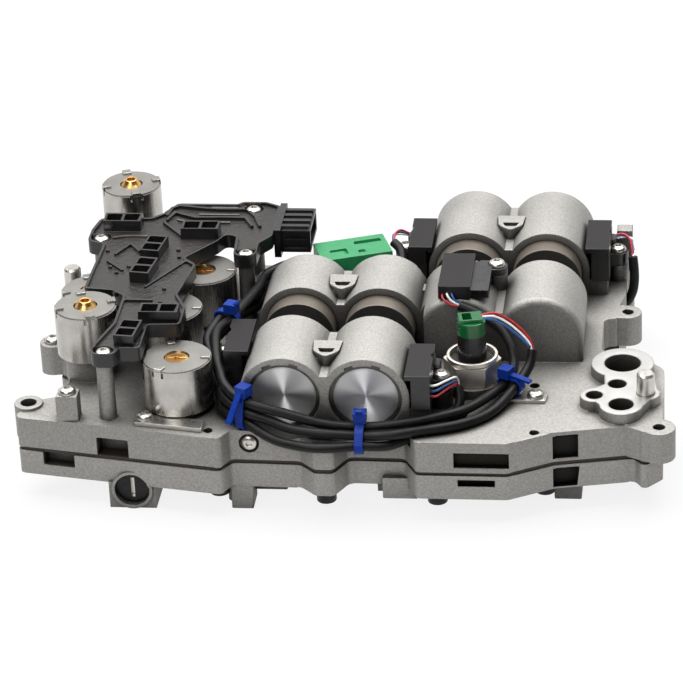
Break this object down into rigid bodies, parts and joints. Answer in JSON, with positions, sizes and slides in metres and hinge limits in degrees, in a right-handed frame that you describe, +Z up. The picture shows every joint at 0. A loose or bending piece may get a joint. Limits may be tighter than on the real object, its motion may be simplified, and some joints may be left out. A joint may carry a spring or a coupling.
{
  "type": "transmission valve body",
  "caption": "Electro-hydraulic transmission valve body: sandwiched castings with fork cylinders, sliding shift pistons, solenoids, lead frame, position sensors and tied harness.",
  "frame": {"origin": "on the underside of the middle foot of the lower casting", "axes": "+Z up from the feet to the deck; +Y from the open cylinder ends to the rear, along the shift pistons; +X to the port pad"},
  "size_m": [0.366, 0.2415, 0.1024],
  "materials": {
    "cast_aluminium": "as cast, bead blasted",
    "cast_aluminium_lower": "as cast",
    "dark_steel_plate": "oiled",
    "black_steel": "black oxide",
    "zinc_steel": "zinc plated",
    "piston_alloy": "hard anodised",
    "seal_rubber": "matt",
    "turned_aluminium": "fine turned",
    "drawn_steel": "drawn",
    "brass": "turned",
    "carrier_plastic": "satin",
    "black_plastic": "moulded",
    "sensor_plastic": "satin",
    "sensor_steel": "plated",
    "green_plastic": "moulded",
    "pale_green_plastic": "moulded",
    "cable_sheath": "satin",
    "blue_nylon": "moulded"
  },
  "bodies": {
    "housing": {"lower_body": "cast_aluminium_lower", "separator_plate": "dark_steel_plate", "upper_body": "cast_aluminium", "clamp_bolts": "black_steel", "dowel_pins": "zinc_steel", "end_caps": "turned_aluminium", "cap_rings": "zinc_steel", "solenoid_can_1": "drawn_steel", "solenoid_can_2": "drawn_steel", "solenoid_can_3": "drawn_steel", "solenoid_can_4": "drawn_steel", "solenoid_can_5": "drawn_steel", "solenoid_can_6": "drawn_steel", "solenoid_pole_1": "brass", "solenoid_pole_2": "brass", "solenoid_pole_3": "brass", "solenoid_pole_4": "brass", "solenoid_pole_5": "brass", "solenoid_pole_6": "brass", "solenoid_clamp": "zinc_steel", "lead_frame": "carrier_plastic", "conductor_strips": "zinc_steel", "frame_fasteners": "zinc_steel", "main_connector": "black_plastic", "position_sensor_1": "sensor_plastic", "position_sensor_2": "sensor_plastic", "position_sensor_3": "sensor_plastic", "position_sensor_4": "sensor_plastic", "position_sensor_5": "sensor_plastic", "sensor_screws": "zinc_steel", "fluid_sensor_body": "sensor_steel", "fluid_sensor_stem": "black_plastic", "fluid_sensor_plug": "green_plastic", "harness_plug": "pale_green_plastic", "cable_1": "cable_sheath", "cable_2": "cable_sheath", "cable_3": "cable_sheath", "cable_4": "cable_sheath", "cable_5": "cable_sheath", "cable_ties": "blue_nylon", "tie_bracket": "zinc_steel", "body_screws": "zinc_steel", "spool_plug": "zinc_steel", "spool_spring": "zinc_steel"},
    "piston_1": {"shift_piston_1": "piston_alloy", "piston_seals_1": "seal_rubber"},
    "piston_2": {"shift_piston_2": "piston_alloy", "piston_seals_2": "seal_rubber"},
    "piston_3": {"shift_piston_3": "piston_alloy", "piston_seals_3": "seal_rubber"},
    "piston_4": {"shift_piston_4": "piston_alloy", "piston_seals_4": "seal_rubber"},
    "spool": {"spool": "zinc_steel"}
  },
  "joints": [
    {"name": "piston_1_shift", "type": "slide", "parent": "housing", "child": "piston_1", "axis": [0, 1, 0], "range_m": [-0.008, 0.008]},
    {"name": "piston_2_shift", "type": "slide", "parent": "housing", "child": "piston_2", "axis": [0, 1, 0], "range_m": [-0.008, 0.008]},
    {"name": "piston_3_shift", "type": "slide", "parent": "housing", "child": "piston_3", "axis": [0, 1, 0], "range_m": [-0.008, 0.008]},
    {"name": "piston_4_shift", "type": "slide", "parent": "housing", "child": "piston_4", "axis": [0, 1, 0], "range_m": [-0.008, 0.008]},
    {"name": "spool_slide", "type": "slide", "parent": "housing", "child": "spool", "axis": [0, 1, 0], "range_m": [0, 0.006], "stiffness_N_per_m": 1500, "springref_m": -0.002, "deforming": ["spool_spring"]}
  ]
}
